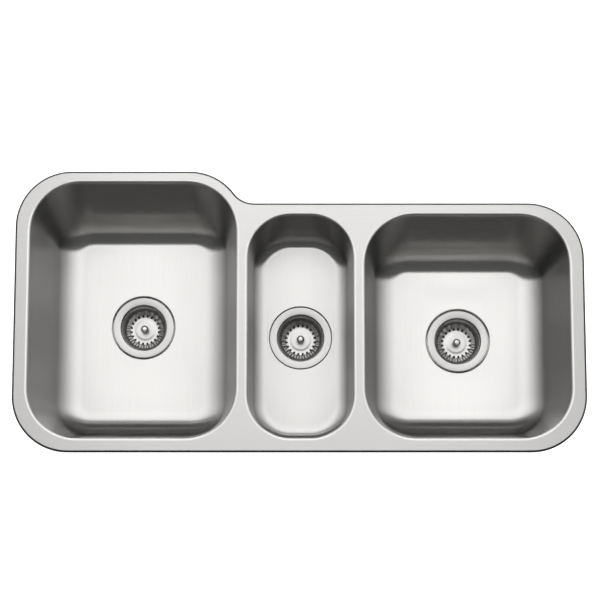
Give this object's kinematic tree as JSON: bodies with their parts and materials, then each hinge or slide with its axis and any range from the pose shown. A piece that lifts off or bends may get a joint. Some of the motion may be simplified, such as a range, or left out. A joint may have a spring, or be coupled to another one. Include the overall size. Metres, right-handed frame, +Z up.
{
  "type": "three compartment sink",
  "caption": "Undermount stainless kitchen sink with a deep large bowl, a small middle bowl and a second large bowl, each with a lift-out basket strainer.",
  "frame": {"origin": "on the flat top face of the rim, in the middle of its front strip", "axes": "+X to the right along the counter, +Y to the back, +Z up out of the bowls"},
  "size_m": [1.015, 0.5035, 0.3836],
  "materials": {
    "stainless": "fine satin brushing, front to back in the bowls",
    "strainer_steel": "bright brushed",
    "zinc": "die-cast zinc, matt grey",
    "black_rubber": "matt",
    "fibre": "pressed fibre, matt",
    "putty": "matt, slightly uneven",
    "nylon": "moulded, slight sheen",
    "damping": "matt, grained"
  },
  "bodies": {
    "sink": {"left_back_pad": "damping", "left_bowl": "stainless", "left_coupling_nut": "zinc", "left_crossbar": "strainer_steel", "left_floor_pad": "damping", "left_friction_ring": "fibre", "left_front_pad": "damping", "left_gasket": "black_rubber", "left_locknut": "zinc", "left_putty_seal": "putty", "left_side_pad": "damping", "left_strainer_body": "strainer_steel", "left_tailpiece": "strainer_steel", "left_tailpiece_washer": "nylon", "left_weld_bead": "stainless", "middle_bowl": "stainless", "middle_coupling_nut": "zinc", "middle_crossbar": "strainer_steel", "middle_friction_ring": "fibre", "middle_gasket": "black_rubber", "middle_locknut": "zinc", "middle_putty_seal": "putty", "middle_strainer_body": "strainer_steel", "middle_tailpiece": "strainer_steel", "middle_tailpiece_washer": "nylon", "right_back_pad": "damping", "right_bowl": "stainless", "right_coupling_nut": "zinc", "right_crossbar": "strainer_steel", "right_floor_pad": "damping", "right_friction_ring": "fibre", "right_front_pad": "damping", "right_gasket": "black_rubber", "right_locknut": "zinc", "right_putty_seal": "putty", "right_side_pad": "damping", "right_strainer_body": "strainer_steel", "right_tailpiece": "strainer_steel", "right_tailpiece_washer": "nylon", "right_weld_bead": "stainless"},
    "left_clip": {"left_stem_clip": "strainer_steel"},
    "left_lift_out": {"left_basket": "strainer_steel", "left_basket_stem": "strainer_steel", "left_stopper": "black_rubber"},
    "middle_clip": {"middle_stem_clip": "strainer_steel"},
    "middle_lift_out": {"middle_basket": "strainer_steel", "middle_basket_stem": "strainer_steel", "middle_stopper": "black_rubber"},
    "right_clip": {"right_stem_clip": "strainer_steel"},
    "right_lift_out": {"right_basket": "strainer_steel", "right_basket_stem": "strainer_steel", "right_stopper": "black_rubber"}
  },
  "joints": [
    {"name": "left_lift", "type": "slide", "parent": "sink", "child": "left_clip", "axis": [0, 0, 1], "range_m": [0, 0.12]},
    {"name": "left_spin", "type": "hinge", "parent": "left_clip", "child": "left_lift_out", "pos_m": [-0.2965, 0.2387, -0.259], "axis": [0, 0, 1], "continuous": true},
    {"name": "middle_lift", "type": "slide", "parent": "sink", "child": "middle_clip", "axis": [0, 0, 1], "range_m": [0, 0.12]},
    {"name": "middle_spin", "type": "hinge", "parent": "middle_clip", "child": "middle_lift_out", "pos_m": [0.002, 0.2102, -0.182], "axis": [0, 0, 1], "continuous": true},
    {"name": "right_lift", "type": "slide", "parent": "sink", "child": "right_clip", "axis": [0, 0, 1], "range_m": [0, 0.12]},
    {"name": "right_spin", "type": "hinge", "parent": "right_clip", "child": "right_lift_out", "pos_m": [0.2985, 0.2102, -0.233], "axis": [0, 0, 1], "continuous": true}
  ]
}
